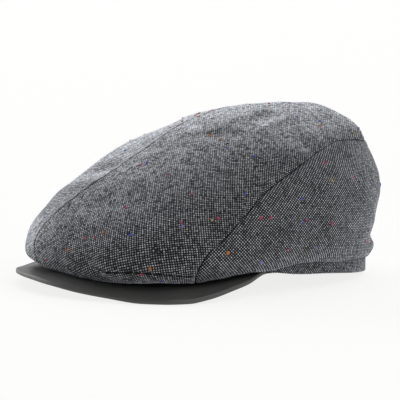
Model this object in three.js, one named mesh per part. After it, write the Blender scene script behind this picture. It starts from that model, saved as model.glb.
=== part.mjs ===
import * as THREE from 'three';

// Soft slouch cap with a leather visor, lying as it rests by itself, in millimetres.
// Front is -Y, the wearer's left is +X, up is +Z. Angles run from the front (0) through
// the wearer's left (90) to the back (180); the right side is negative.

// Head opening: the outer face of the band seen from above
const openingHalfWidth = 83;
const openingHalfLength = 101;
const openingSquareness = 2.1;

// Walls and fits
const clothWall = 1.7;
const bandWall = 1.8;
const bandHeight = 16;
const bandStep = 5;
const layerGap = 0.3;
const seamGap = 0.4;
const seatGap = 0.3;

// Crown sections from the band up to the crest. Each row gives how far the section reaches
// and how high it lies at the front, the left, the right and the back, how far its middle
// leans to the left, and how square its front and back halves are.
const sectionColumns = ['name', 'front', 'frontZ', 'left', 'leftZ', 'right', 'rightZ', 'back', 'backZ',
  'lean', 'frontSquare', 'backSquare'];
const sectionRows = [
  ['seat', 101.7, 19, 83.8, 19, 83.8, 19, 103.1, 9, 0, 2.1, 2.1],
  ['hem', 119, 13.2, 88, 17, 88, 17, 103.2, 12, 0, 2.5, 2.1],
  ['tuck', 128, 15, 91, 21, 91, 21, 104, 19, 0, 2.8, 2.2],
  ['roll', 132, 21, 94, 28, 94, 29, 100, 28, 0, 2.9, 2.2],
  ['swell', 130, 31, 95, 39, 95, 42, 102, 41, 0, 2.8, 2.2],
  ['waist', 120, 43, 93, 52, 94, 57, 108, 58, 1, 2.6, 2.2],
  ['shoulder', 103, 56, 89, 65, 88, 72, 107, 76, 3, 2.4, 2.2],
  ['brow', 82, 71, 80, 78, 76, 87, 99, 95, 5, 2.2, 2.2],
  ['top', 56, 86, 65, 91, 54, 98, 82, 109, 7, 2.1, 2.1],
  ['upper', 29, 100, 39, 103, 23, 107, 48, 114, 9, 2, 2],
  ['crest', 0, 110, 10, 110, -10, 110, 0, 110, 10, 2, 2],
];

// Where the top panel is sewn to each side panel: angle and height in sections
const seamColumns = ['angle', 'level'];
const leftSeam = [[41, 0], [42, 2], [45, 3.4], [51, 4.4], [58, 5.4], [66, 6.25], [76, 6.75], [90, 7.15],
  [108, 7.5], [124, 7.6], [136, 7.4], [148, 7.05], [160, 6.9], [172, 6.95], [180, 7.1]];
const rightSeam = [[13, 0], [14, 3], [16, 4.3], [17.3, 5.2], [17.6, 6], [17.9, 6.6], [18.6, 7.1], [20.5, 7.6],
  [25, 8.15], [35, 8.65], [56, 9.05], [88, 9.25], [122, 9.08], [148, 8.4], [162, 7.75], [173, 7.3], [180, 7.1]];

// How the lower edge of the crown waves above the band and visor, by angle
const waveColumns = ['angle', 'rise'];
const hemWave = [[-180, 0], [-110, 0.5], [-70, -1], [-45, -2], [-20, 0], [0, 0], [12, -0.6], [20, -1.8], [30, -2.8],
  [40, -4], [50, -4], [60, -1.8], [70, -2], [80, 0.5], [90, 1.5], [110, 0], [140, 0], [180, 0]];

// Height of the band's lower edge above the floor, by angle from the front
const rimColumns = ['angle', 'height'];
const rimLine = [[0, 8], [20, 7.6], [40, 7.4], [55, 9.6], [68, 12.4], [80, 12.4], [95, 10.6], [110, 8.2],
  [130, 5], [150, 2.2], [164, 0], [180, 0]];

// Visor outline from the right end to the left end: angle, height of its top where it meets
// the band, how far its outer edge reaches, height of its lower edge there, and its full
// thickness. The left half touches the floor; the right half hangs a little higher.
const visorColumns = ['angle', 'root', 'reach', 'height', 'thick'];
const visorLine = [
  [-70, 14, 87.4, 12, 2.3],
  [-65, 13.8, 93, 11.4, 2.7],
  [-60, 13.2, 101.5, 10, 3],
  [-54, 12.2, 112, 8.2, 3.2],
  [-46, 10.8, 124, 5.6, 3.3],
  [-38, 10, 132.8, 4.2, 3.3],
  [-30, 9.8, 138, 5.3, 3.3],
  [-20, 10.2, 140.5, 6.9, 3.3],
  [-10, 10.6, 142.5, 7.4, 3.3],
  [0, 10.8, 144, 6.5, 3.3],
  [10, 10.6, 142.5, 3.9, 3.3],
  [20, 10.2, 140.5, 1.6, 3.3],
  [29, 9.8, 138.2, 0, 3.3],
  [41, 10, 130, 0, 3.3],
  [46, 10.8, 124, 1.5, 3.3],
  [54, 12.2, 112, 5.4, 3.2],
  [60, 13.2, 101.5, 8.6, 3],
  [65, 13.8, 93, 11, 2.7],
  [70, 14, 87.4, 12, 2.3],
];
const visorEnd = 70;
const visorArch = 1.6;

// Folds and dents of the soft crown: the angle and level of each one's middle, the way it
// heads on the cloth (0 is level, 90 is straight up), its half length and half width in
// millimetres, and how far it stands out (plus) or sinks in (minus)
const foldColumns = ['name', 'angle', 'level', 'heading', 'long', 'wide', 'rise'];
const foldRows = [
  ['top dent', 124, 9.35, 0, 16, 7, -1.8],
  ['top ridge', 112, 8.95, 5, 22, 5, 1.1],
  ['crest line', 172, 8.75, 75, 20, 6, -1.1],
  ['front crease', 30, 8.95, 10, 24, 6, -1.5],
  ['front ridge', 44, 9.15, 0, 22, 6, 0.9],
  ['left crease', 104, 7.95, 68, 14, 5, -1.5],
  ['left puff', 90, 8.1, 60, 22, 14, 1.0],
  ['hem tuck', 13, 2.6, -38, 15, 5, -1.8],
  ['hem swell', 3, 3.3, -20, 20, 9, 1.1],
  ['front slump', 30, 3.6, -10, 34, 12, -1.2],
  ['back hollow', 142, 6.6, 5, 30, 10, -2.2],
  ['back swell', 146, 5.4, 8, 34, 13, 1.4],
  ['back fold', 150, 3.1, 6, 34, 6, -2.0],
  ['back roll', 146, 2.4, 4, 32, 5, 1.2],
  ['left slump', 84, 4.1, 8, 36, 12, 1.1],
  ['left hollow', 112, 5.0, 14, 30, 13, -1.5],
  ['brow dip', -30, 6.9, 40, 26, 9, -1.1],
  ['brow swell', -36, 6.1, 40, 26, 10, 0.9],
  ['right hollow', -112, 5.2, -10, 38, 15, -1.8],
  ['right puff', -80, 7.2, 10, 34, 16, 1.0],
  ['right fold', -146, 3.2, -6, 34, 7, -1.8],
];

const rad = (degrees) => degrees * Math.PI / 180;
const mix = (a, b, t) => a + (b - a) * t;
const clamp = (v, lo, hi) => Math.min(hi, Math.max(lo, v));
const smooth = (t) => t * t * (3 - 2 * t);

// Curve through a short table, without overshoot; `level` lists the ends that stay level
function curve(rows, column, level = '') {
  const xs = rows.map((row) => row[0]);
  const ys = rows.map((row) => row[column]);
  const slopes = xs.slice(1).map((x, i) => (ys[i + 1] - ys[i]) / (x - xs[i]));
  const tangents = xs.map((x, i) => {
    if (i === 0) return level.includes('start') ? 0 : slopes[0];
    if (i === xs.length - 1) return level.includes('end') ? 0 : slopes[i - 1];
    if (slopes[i - 1] * slopes[i] <= 0) return 0;
    return 2 * slopes[i - 1] * slopes[i] / (slopes[i - 1] + slopes[i]);
  });
  return (x) => {
    const v = clamp(x, xs[0], xs[xs.length - 1]);
    let i = 0;
    while (i < xs.length - 2 && v > xs[i + 1]) i += 1;
    const step = xs[i + 1] - xs[i];
    const t = (v - xs[i]) / step;
    const t2 = t * t;
    const t3 = t2 * t;
    return (2 * t3 - 3 * t2 + 1) * ys[i] + (t3 - 2 * t2 + t) * step * tangents[i]
      + (3 * t2 - 2 * t3) * ys[i + 1] + (t3 - t2) * step * tangents[i + 1];
  };
}

// Crown surface
const sections = sectionRows.map((row) => {
  const [, front, frontZ, left, leftZ, right, rightZ, back, backZ, lean, frontSquare, backSquare] = row;
  return [front, frontZ, left - lean, leftZ, right + lean, rightZ, back, backZ, lean, frontSquare, backSquare];
});
const crestLevel = sections.length - 1;

// One row past the crest mirrors the row below it, so the crown closes smoothly there
function beyondCrest() {
  const [front, frontZ, left, leftZ, right, rightZ, back, backZ, lean, f, b] = sections[crestLevel - 1];
  const crestLean = sections[crestLevel][8];
  return [-back, backZ, -right, rightZ, -left, leftZ, -front, frontZ, 2 * crestLean - lean, f, b];
}
const belowSeat = sections[0].map((v, k) => 2 * v - sections[1][k]);
const knots = [belowSeat, ...sections, beyondCrest()];

function section(level) {
  const u = clamp(level, 0, crestLevel);
  const i = Math.min(Math.floor(u), crestLevel - 1);
  const t = u - i;
  return knots[0].map((unused, k) => {
    const [a, b, c, d] = [knots[i][k], knots[i + 1][k], knots[i + 2][k], knots[i + 3][k]];
    return 0.5 * (2 * b + (c - a) * t + (2 * a - 5 * b + 4 * c - d) * t * t
      + (3 * b - a - 3 * c + d) * t * t * t);
  });
}

const wave = curve(hemWave, 1, 'start end');

function smoothCrown(angle, level) {
  const [front, frontZ, left, leftZ, right, rightZ, back, backZ, lean, fSq, bSq] = section(level);
  const c = Math.cos(rad(angle));
  const s = Math.sin(rad(angle));
  const depth = Math.max(c > 0 ? front : back, 1e-5);
  const width = Math.max(s > 0 ? left : right, 1e-5);
  const square = c > 0 ? fSq : bSq;
  const reach = (Math.abs(c / depth) ** square + Math.abs(s / width) ** square) ** (-1 / square);
  const ahead = clamp(reach * c / depth, -1, 1);
  const aside = clamp(reach * s / width, -1, 1);
  const flank = (leftZ + rightZ) / 2 + (leftZ - rightZ) / 2 * aside;
  const length = (frontZ + backZ) / 2 - (leftZ + rightZ) / 2;
  const z = flank + length * ahead * ahead + (frontZ - backZ) / 2 * ahead;
  const fade = smooth(clamp(1 - (level - 1) / 3, 0, 1));
  return new THREE.Vector3(reach * s + lean, -reach * c, z + wave(angle) * fade);
}

function normalOf(surface, angle, level) {
  const u = clamp(level, 0.02, crestLevel - 0.02);
  const along = surface(angle + 0.5, u).sub(surface(angle - 0.5, u));
  const up = surface(angle, u + 0.02).sub(surface(angle, u - 0.02));
  return along.cross(up).normalize();
}

const folds = foldRows.map(([, angle, level, heading, long, wide, rise]) => {
  const middle = smoothCrown(angle, level);
  const out = normalOf(smoothCrown, angle, level);
  const flat = smoothCrown(angle + 0.5, level).sub(smoothCrown(angle - 0.5, level)).normalize();
  const up = out.clone().cross(flat);
  const along = flat.clone().multiplyScalar(Math.cos(rad(heading))).addScaledVector(up, Math.sin(rad(heading)));
  const across = out.clone().cross(along);
  return { middle, out, along, across, long, wide, rise };
});

function foldHeight(point, level) {
  let height = 0;
  for (const fold of folds) {
    const d = point.clone().sub(fold.middle);
    const a = d.dot(fold.along) / fold.long;
    const b = d.dot(fold.across) / fold.wide;
    const c = d.dot(fold.out) / 30;
    height += fold.rise * Math.exp(-a * a - b * b - c * c);
  }
  return height * smooth(clamp(level / 1.6, 0, 1));
}

function crown(angle, level) {
  const at = smoothCrown(angle, level);
  return at.addScaledVector(normalOf(smoothCrown, angle, level), foldHeight(at, level));
}

// Closed shell from a grid of outer points; inner points lie one wall below
function shell(outer, inner, closed) {
  const columns = outer.length;
  const rows = outer[0].length;
  const positions = [];
  const index = [];
  const put = (v) => positions.push(v.x, v.y, v.z) / 3 - 1;
  const o = outer.map((column) => column.map(put));
  const n = inner.map((column) => column.map(put));
  const quad = (a, b, c, d) => index.push(a, b, c, a, c, d);
  const spans = closed ? columns : columns - 1;
  for (let i = 0; i < spans; i += 1) {
    const k = (i + 1) % columns;
    for (let j = 0; j < rows - 1; j += 1) {
      quad(o[i][j], o[k][j], o[k][j + 1], o[i][j + 1]);
      quad(n[k][j], n[i][j], n[i][j + 1], n[k][j + 1]);
    }
    quad(o[k][0], o[i][0], n[i][0], n[k][0]);
    quad(o[i][rows - 1], o[k][rows - 1], n[k][rows - 1], n[i][rows - 1]);
  }
  if (!closed) {
    const last = columns - 1;
    for (let j = 0; j < rows - 1; j += 1) {
      quad(o[0][j], o[0][j + 1], n[0][j + 1], n[0][j]);
      quad(o[last][j + 1], o[last][j], n[last][j], n[last][j + 1]);
    }
  }
  const geometry = new THREE.BufferGeometry();
  geometry.setAttribute('position', new THREE.Float32BufferAttribute(positions, 3));
  geometry.setIndex(index);
  return geometry;
}

const seamLeft = curve(leftSeam, 1);
const seamRight = curve(rightSeam, 1);
const leftStart = leftSeam[0][0];
const rightStart = rightSeam[0][0];

const levels = [0, 0.5, 1, 1.6, 2.3, 3, 3.7, 4.4, 5.1, 5.8, 6.5, 7.2, 7.9, 8.6, 9.2, 9.65];

// Angle where a seam line first reaches a level
function reaches(seam, start, level) {
  let before = start;
  let after = 90;
  for (let i = 0; i < 40; i += 1) {
    const half = (before + after) / 2;
    if (seam(half) < level) before = half;
    else after = half;
  }
  return after;
}

// Angles shared by the panels on both sides of a seam: one for every level while the seam
// climbs, then even steps to the back
function seamAngles(seam, start, until, step) {
  const climb = levels.filter((level) => level <= until).map((level) => (level ? reaches(seam, start, level) : start));
  const last = climb[climb.length - 1];
  const count = Math.round((180 - last) / step);
  for (let i = 1; i < count; i += 1) climb.push(mix(last, 180, i / count));
  return climb;
}
const leftAngles = seamAngles(seamLeft, leftStart, 6.5, 7);
const rightAngles = seamAngles(seamRight, rightStart, 8.6, 7.5);
const frontAngles = [-9, -5, -1, 4, 9, 14, 19, 24, 29, 33, 37];

// Closed panel between two level lines: each column holds the shared levels that lie inside
// it, and neighbouring columns are joined level by level
function panel(angles, fromLevel, toLevel, closed) {
  const positions = [];
  const index = [];
  const put = (v) => positions.push(v.x, v.y, v.z) / 3 - 1;
  const columns = angles.map((angle) => {
    const low = fromLevel(angle);
    const high = toLevel(angle);
    const inside = levels.filter((u) => u > low + 0.22 && u < high - 0.22);
    return [low, ...inside, high].map((level) => {
      const p = crown(angle, level);
      const q = p.clone().addScaledVector(normalOf(crown, angle, level), -clothWall);
      return { level, outer: put(p), inner: put(q) };
    });
  });
  const tri = (a, b, c) => {
    index.push(a.outer, b.outer, c.outer);
    index.push(a.inner, c.inner, b.inner);
  };
  const wall = (a, b) => {
    index.push(a.outer, a.inner, b.inner);
    index.push(a.outer, b.inner, b.outer);
  };
  const spans = closed ? columns.length : columns.length - 1;
  for (let i = 0; i < spans; i += 1) {
    const left = columns[i];
    const right = columns[(i + 1) % columns.length];
    let a = 0;
    let b = 0;
    while (a < left.length - 1 || b < right.length - 1) {
      const nextLeft = a < left.length - 1 ? left[a + 1].level : Infinity;
      const nextRight = b < right.length - 1 ? right[b + 1].level : Infinity;
      if (nextRight <= nextLeft) {
        tri(left[a], right[b], right[b + 1]);
        b += 1;
      } else {
        tri(left[a], right[b], left[a + 1]);
        a += 1;
      }
    }
    wall(left[0], right[0]);
    if (!closed) wall(right[right.length - 1], left[left.length - 1]);
  }
  if (closed) {
    const crest = crown(0, crestLevel);
    const top = { outer: put(crest), inner: put(crest.clone().setZ(crest.z - clothWall)) };
    for (let i = 0; i < spans; i += 1) {
      const left = columns[i];
      const right = columns[(i + 1) % columns.length];
      tri(left[left.length - 1], right[right.length - 1], top);
    }
  } else {
    const first = columns[0];
    const last = columns[columns.length - 1];
    for (let j = 0; j < first.length - 1; j += 1) wall(first[j + 1], first[j]);
    for (let j = 0; j < last.length - 1; j += 1) wall(last[j], last[j + 1]);
  }
  const geometry = new THREE.BufferGeometry();
  geometry.setAttribute('position', new THREE.Float32BufferAttribute(positions, 3));
  geometry.setIndex(index);
  return geometry;
}

function topPanel() {
  const angles = [...rightAngles.map((a) => -a).reverse(), ...frontAngles, ...leftAngles, 180];
  const low = (angle) => {
    if (angle >= leftStart) return seamLeft(angle);
    if (angle <= -rightStart) return seamRight(-angle);
    return 0;
  };
  return panel(angles, low, () => levels[levels.length - 1], true);
}

// A side panel stops short of the seam line by the seam gap, both along and below it
function sidePanel(side) {
  const seam = side > 0 ? seamLeft : seamRight;
  const shift = 0.28;
  const angles = [...(side > 0 ? leftAngles : rightAngles).slice(1).map((a) => a + shift), 180 - 0.12];
  const high = (angle) => {
    const level = Math.min(seam(Math.abs(angle) - shift), seam(Math.abs(angle)));
    const reach = crown(angle, level + 0.05).distanceTo(crown(angle, level - 0.05)) / 0.1;
    return level - seamGap / reach;
  };
  if (side > 0) return panel(angles, () => 0, high, false);
  return panel(angles.map((a) => -a).reverse(), () => 0, high, false);
}

// Head opening outline, `inset` inside the band's outer face
function opening(angle, inset) {
  const c = Math.abs(Math.cos(rad(angle)));
  const s = Math.abs(Math.sin(rad(angle)));
  const n = openingSquareness;
  return ((c / (openingHalfLength - inset)) ** n + (s / (openingHalfWidth - inset)) ** n) ** (-1 / n);
}

function at(angle, reach, z) {
  return new THREE.Vector3(reach * Math.sin(rad(angle)), -reach * Math.cos(rad(angle)), z);
}

const rim = curve(rimLine, 1, 'start end');

// Plain turned-up band; its lower edge is rounded by a small chamfer
function band() {
  const outer = [];
  const inner = [];
  for (let angle = -180; angle < 180; angle += bandStep) {
    const low = rim(Math.abs(angle));
    outer.push([[0.5, 0], [0, 0.6], [0, bandHeight - 0.5], [0.4, bandHeight]]
      .map(([inset, up]) => at(angle, opening(angle, inset), low + up)));
    inner.push([[bandWall - 0.5, 0], [bandWall, 0.6], [bandWall, bandHeight - 0.5], [bandWall - 0.4, bandHeight]]
      .map(([inset, up]) => at(angle, opening(angle, inset), low + up)));
  }
  return shell(outer, inner, true);
}

// Visor: two leather layers, one above the other, sewn to the front of the band
const rootOf = curve(visorLine, 1);
const reachOf = curve(visorLine, 2);
const lowOf = curve(visorLine, 3);
const thickOf = curve(visorLine, 4);

function visorPoint(angle, share, layerShare, shift) {
  const from = opening(angle, -seatGap);
  const to = reachOf(angle);
  const thick = thickOf(angle);
  const arch = visorArch * Math.sin(Math.PI * share) * clamp((to - from) / 42, 0, 1);
  const low = mix(rootOf(angle) - thick, lowOf(angle), share);
  return at(angle, mix(from, to, share), low + arch + thick * layerShare + shift);
}

function visorLayer(low, high, shiftLow, shiftHigh) {
  const outer = [];
  const inner = [];
  const rows = 7;
  for (let angle = -visorEnd; angle <= visorEnd; angle += bandStep) {
    const column = [];
    const under = [];
    for (let j = 0; j < rows; j += 1) {
      const share = 1 - j / (rows - 1);
      column.push(visorPoint(angle, share, high, shiftHigh));
      under.push(visorPoint(angle, share, low, shiftLow));
    }
    outer.push(column);
    inner.push(under);
  }
  return shell(outer, inner, false);
}

const cloth = (name) => {
  const material = new THREE.MeshStandardMaterial({ color: 0x6b7078, roughness: 0.95, metalness: 0 });
  material.name = name;
  return material;
};
const leather = (name) => {
  const material = new THREE.MeshStandardMaterial({ color: 0x1b1a19, roughness: 0.42, metalness: 0 });
  material.name = name;
  return material;
};

const pieces = [
  ['top_panel', topPanel(), cloth('top_panel_cloth')],
  ['side_panel_left', sidePanel(1), cloth('side_panel_left_cloth')],
  ['side_panel_right', sidePanel(-1), cloth('side_panel_right_cloth')],
  ['band', band(), cloth('band_cloth')],
  ['visor_top', visorLayer(0.5, 1, layerGap / 2, 0), leather('visor_top_leather')],
  ['visor_underside', visorLayer(0, 0.5, 0, -layerGap / 2), leather('visor_underside_leather')],
];

// Put the middle of the whole cap's footprint at the origin, resting on the floor
const box = new THREE.Box3();
for (const [, geometry] of pieces) {
  geometry.computeBoundingBox();
  box.union(geometry.boundingBox);
}
const middle = box.getCenter(new THREE.Vector3());

const group = new THREE.Group();
group.name = 'slouch_cap';
for (const [name, geometry, material] of pieces) {
  geometry.translate(-middle.x, -middle.y, -box.min.z);
  geometry.computeVertexNormals();
  const mesh = new THREE.Mesh(geometry, material);
  mesh.name = name;
  group.add(mesh);
}

export default group;
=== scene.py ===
import math
import random
import bmesh
import bpy
import numpy as np
from mathutils import Matrix, Vector, bvhtree, kdtree, noise


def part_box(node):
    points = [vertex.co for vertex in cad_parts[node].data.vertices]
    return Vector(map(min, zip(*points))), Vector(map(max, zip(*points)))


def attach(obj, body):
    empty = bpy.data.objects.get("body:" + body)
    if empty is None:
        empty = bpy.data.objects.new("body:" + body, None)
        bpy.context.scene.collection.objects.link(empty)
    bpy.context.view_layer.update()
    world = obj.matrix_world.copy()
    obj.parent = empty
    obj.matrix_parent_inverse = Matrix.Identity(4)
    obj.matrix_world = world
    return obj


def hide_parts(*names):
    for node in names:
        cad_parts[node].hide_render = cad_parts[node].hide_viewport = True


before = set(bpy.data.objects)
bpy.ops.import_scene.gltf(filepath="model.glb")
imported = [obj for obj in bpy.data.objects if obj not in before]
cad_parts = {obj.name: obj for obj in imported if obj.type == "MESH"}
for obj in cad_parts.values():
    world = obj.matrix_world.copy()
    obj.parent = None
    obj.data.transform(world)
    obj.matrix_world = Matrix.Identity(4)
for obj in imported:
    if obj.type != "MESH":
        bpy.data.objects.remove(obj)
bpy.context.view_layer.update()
bandLow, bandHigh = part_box("band")
headX = (bandLow[0] + bandHigh[0]) / 2      # middle of the head opening
headY = (bandLow[1] + bandHigh[1]) / 2
mm = 0.001
print("frame loaded, head opening at", round(headX, 4), round(headY, 4))

# The crown, in millimetres round the middle of the head opening. Angles run from the
# front (0) over the wearer's left (90) to the back (180); the right side is negative.
crown = {
    "columnsRound": 470,
    "rowsUp": 176,
    "wall": 1.5,
    "patternStep": (10, 8),     # columns and rows of the grid to a cell of the flat pattern
    "hemFade": 3,               # levels over which the lower edge's shape fades out above it
    "foldFade": 1.6,            # levels over which the folds begin
    "foldDeep": 30,             # how far into the hollow or out of it a fold reaches
    # the panels: name, mark, direction in space of the threads that run up, turn of the cut
    "panels": [("topPanel", 1, (0, 0.6, 0.8), 45), ("sidePanelLeft", 2, (0, 0, 1), 43),
               ("sidePanelRight", 3, (0, 0, 1), -43)],
    # reach and height at the front, left, right and back, lean, squareness front and back
    "sections": [
        ("seat", 101.7, 19, 83.8, 19, 83.8, 19, 103.1, 9, 0, 2.1, 2.1),
        ("hem", 119, 13.2, 88, 17, 88, 17, 103.2, 12, 0, 2.5, 2.1),
        ("tuck", 128, 15, 91, 21, 91, 21, 104, 19, 0, 2.8, 2.2),
        ("roll", 132, 21, 94, 28, 94, 29, 100, 28, 0, 2.9, 2.2),
        ("swell", 130, 31, 95, 39, 95, 42, 102, 41, 0, 2.8, 2.2),
        ("waist", 120, 43, 93, 52, 94, 57, 108, 58, 1, 2.6, 2.2),
        ("shoulder", 103, 56, 89, 65, 88, 72, 107, 76, 3, 2.4, 2.2),
        ("brow", 82, 71, 80, 78, 76, 87, 99, 95, 5, 2.2, 2.2),
        ("top", 56, 86, 65, 91, 54, 98, 82, 109, 7, 2.1, 2.1),
        ("upper", 29, 100, 39, 103, 23, 107, 48, 114, 9, 2, 2),
        ("crest", 0, 110, 10, 110, -10, 110, 0, 110, 10, 2, 2),
    ],
    # lower edge above the band and visor: angle, rise
    "hemWave": [(-180, 0), (-110, 0.5), (-70, -1), (-45, -2), (-20, 0), (-8, -1), (0, -2), (8, -2.9),
                (14, -3.7), (20, -4.2), (30, -4), (40, -4.9), (50, -3.6), (60, -1.4), (70, -1.2),
                (80, 0.5), (90, 1.5), (110, 0), (140, 0), (180, 0)],
    # seams between the top panel and the side panels: angle, level
    "leftSeam": [(41, 0), (42, 2), (45, 3.4), (51, 4.4), (58, 5.4), (66, 6.25), (76, 6.75), (90, 7.15),
                 (108, 7.5), (124, 7.6), (136, 7.4), (148, 7.05), (160, 6.9), (172, 6.95), (180, 7.1)],
    "rightSeam": [(13, 0), (14, 3), (16, 4.3), (17.3, 5.2), (17.6, 6), (17.9, 6.6), (18.6, 7.1),
                  (20.5, 7.6), (25, 8.15), (35, 8.65), (56, 9.05), (88, 9.25), (122, 9.08), (148, 8.4),
                  (162, 7.75), (173, 7.3), (180, 7.1)],
    # sewn line above the strip of the hem in front: angle, level
    "frontLine": [(9, 3.12), (12, 3.0), (15, 2.86), (17, 2.74), (21.5, 2.76), (25, 2.74), (29, 2.67),
                  (32.5, 2.58), (36.5, 2.44), (40, 2.26), (43, 2.15)],
    # folds and dents: angle, level, heading, half length, half width, rise
    "folds": [
        ("top dent", 124, 9.35, 0, 16, 7, -1.8),
        ("top ridge", 112, 8.95, 5, 22, 5, 1.1),
        ("crest line", 172, 8.75, 75, 20, 6, -0.4),
        ("shoulder", 171, 8.35, 0, 24, 9, 1.9),
        ("front crease", 30, 8.95, 10, 24, 6, -0.5),
        ("front ridge", 44, 9.15, 0, 22, 6, 0.6),
        ("left crease", 104, 7.95, 68, 14, 5, -1.5),
        ("left puff", 90, 8.1, 60, 22, 14, 1.0),
        ("hem tuck", 13, 2.6, -38, 15, 5, -1.8),
        ("hem swell", 3, 3.3, -20, 20, 9, 1.1),
        ("front slump", 30, 3.6, -10, 34, 12, -1.2),
        ("back hollow", 142, 6.6, 5, 30, 10, -2.2),
        ("back swell", 146, 5.4, 8, 34, 13, 0.8),
        ("back fold", 150, 3.1, 6, 34, 6, -2.0),
        ("back roll", 146, 2.4, 4, 32, 5, 0.7),
        ("left slump", 84, 4.1, 8, 36, 12, 1.1),
        ("left hollow", 112, 5.0, 14, 30, 13, -1.5),
        ("brow dip", -30, 6.9, 40, 26, 9, -1.1),
        ("brow swell", -36, 6.1, 40, 26, 10, 0.9),
        ("right hollow", -112, 5.2, -10, 38, 15, -1.8),
        ("right puff", -80, 7.2, 10, 34, 16, 1.0),
        ("right fold", -146, 3.2, -6, 34, 7, -1.8),
        ("right crest", -108, 8.8, 0, 34, 14, 1.6),
        ("back corner", 158, 7.4, 0, 20, 11, 2.0),
    ],
}

# How the cloth lies at a seam, in millimetres; where it is rubbed pale; and where it is painted paler as
# painted light, on the faces turned towards the light
seamLook = {
    "grooveDeep": 0.7,
    "grooveWide": 0.7,
    "ridgeRise": 0.28,
    "ridgeAway": 2.6,
    "ridgeWide": 1.9,
    "pucker": (0.9, 0.22),      # how much a ridge swells and fades, and swells to a millimetre
    # where a seam shows less, high up and low on the right: level, levels to the full effect, effect
    "pressedHigh": (6.9, 0.9, 0.28),
    "pressedRight": (6, 1.5, 0.75),
    "lineStep": (0.8, 1.4, 7),  # step over the sewn line: rise, width, reach up the cloth
    "lineFade": (6, 1.5),       # degrees over which that line begins and ends
    "wideWave": (0.75, 0.045),  # height of the waves, and waves to a millimetre
    "fineWave": (0.28, 0.12),
    # painted light: the direction the cloth must face to be painted paler
    "paintedLightFrom": (-0.16, 0.2, 0.96),
    "paintedLightStart": 0.55,           # how far the cloth must face that direction before it is painted paler
    "paintedLightOver": 0.38,
    # the rubbed corner in front: angle and spread, level and spread, share
    "cornerPale": (-21, 11, 4, 1.5, 0.65),
}


def curve(rows, column=1, level=""):
    # Smooth curve through a short table, without overshoot.
    xs = np.array([row[0] for row in rows], float)
    ys = np.array([row[column] for row in rows], float)
    slopes = np.diff(ys) / np.diff(xs)
    tangents = np.zeros(len(xs))
    tangents[0] = 0 if "start" in level else slopes[0]
    tangents[-1] = 0 if "end" in level else slopes[-1]
    for i in range(1, len(xs) - 1):
        if slopes[i - 1] * slopes[i] > 0:
            tangents[i] = 2 * slopes[i - 1] * slopes[i] / (slopes[i - 1] + slopes[i])

    def at(x):
        v = np.clip(np.asarray(x, float), xs[0], xs[-1])
        i = np.clip(np.searchsorted(xs, v, side="left") - 1, 0, len(xs) - 2)
        step = xs[i + 1] - xs[i]
        t = (v - xs[i]) / step
        return ((2 * t**3 - 3 * t**2 + 1) * ys[i] + (t**3 - 2 * t**2 + t) * step * tangents[i]
                + (3 * t**2 - 2 * t**3) * ys[i + 1] + (t**3 - t**2) * step * tangents[i + 1])
    return at


def smoothStep(t):
    t = np.clip(t, 0, 1)
    return t * t * (3 - 2 * t)


def crownKnots():
    # The sections, and one more at either end to steer the curve through them.
    rows = [[front, frontZ, left - lean, leftZ, right + lean, rightZ, back, backZ, lean, *square]
            for _, front, frontZ, left, leftZ, right, rightZ, back, backZ, lean, *square
            in crown["sections"]]
    below = [2 * v - w for v, w in zip(rows[0], rows[1])]
    front, frontZ, left, leftZ, right, rightZ, back, backZ, lean, *square = rows[-2]
    farLean = 2 * rows[-1][8] - lean
    beyond = [-back, backZ, -right, rightZ, -left, leftZ, -front, frontZ, farLean, *square]
    return np.array([below, *rows, beyond], float)


knots = crownKnots()
topLevel = len(crown["sections"]) - 1
hemWave = curve(crown["hemWave"], 1, "start end")
leftSeam = curve(crown["leftSeam"])
rightSeam = curve(crown["rightSeam"])


def smoothCrown(angle, level):
    angle = np.radians(angle)
    u = np.clip(level, 0, topLevel)
    i = np.minimum(np.floor(u).astype(int), topLevel - 1)
    t = (u - i)[..., None]
    a, b, c, d = knots[i], knots[i + 1], knots[i + 2], knots[i + 3]
    row = 0.5 * (2 * b + (c - a) * t + (2 * a - 5 * b + 4 * c - d) * t * t
                 + (3 * b - a - 3 * c + d) * t**3)
    (front, frontZ, left, leftZ, right, rightZ,
     back, backZ, lean, frontSquare, backSquare) = np.moveaxis(row, -1, 0)
    c, s = np.cos(angle), np.sin(angle)
    depth = np.maximum(np.where(c > 0, front, back), 1e-5)
    width = np.maximum(np.where(s > 0, left, right), 1e-5)
    square = np.where(c > 0, frontSquare, backSquare)
    reach = (np.abs(c / depth)**square + np.abs(s / width)**square)**(-1 / square)
    ahead = np.clip(reach * c / depth, -1, 1)
    aside = np.clip(reach * s / width, -1, 1)
    flank = (leftZ + rightZ) / 2 + (leftZ - rightZ) / 2 * aside
    length = (frontZ + backZ) / 2 - (leftZ + rightZ) / 2
    z = flank + length * ahead**2 + (frontZ - backZ) / 2 * ahead
    z = z + hemWave(np.degrees(angle)) * smoothStep(1 - (level - 1) / crown["hemFade"])
    return np.stack([reach * s + lean, -reach * c, z], -1)


def normalOf(surface, angle, level):
    u = np.clip(level, 0.02, topLevel - 0.02)
    across = surface(angle + 0.5, u) - surface(angle - 0.5, u)
    up = surface(angle, u + 0.02) - surface(angle, u - 0.02)
    n = np.cross(across, up)
    return n / np.linalg.norm(n, axis=-1, keepdims=True)


def foldFrames():
    frames = []
    for _, angle, level, heading, long, wide, rise in crown["folds"]:
        a, u = np.array([float(angle)]), np.array([float(level)])
        middle = smoothCrown(a, u)[0]
        out = normalOf(smoothCrown, a, u)[0]
        flat = (smoothCrown(a + 0.5, u) - smoothCrown(a - 0.5, u))[0]
        flat = flat / np.linalg.norm(flat)
        up = np.cross(out, flat)
        turn = math.radians(heading)
        along = flat * math.cos(turn) + up * math.sin(turn)
        frames.append((middle, along, np.cross(out, along), out, long, wide, rise))
    return frames


folds = foldFrames()


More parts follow.
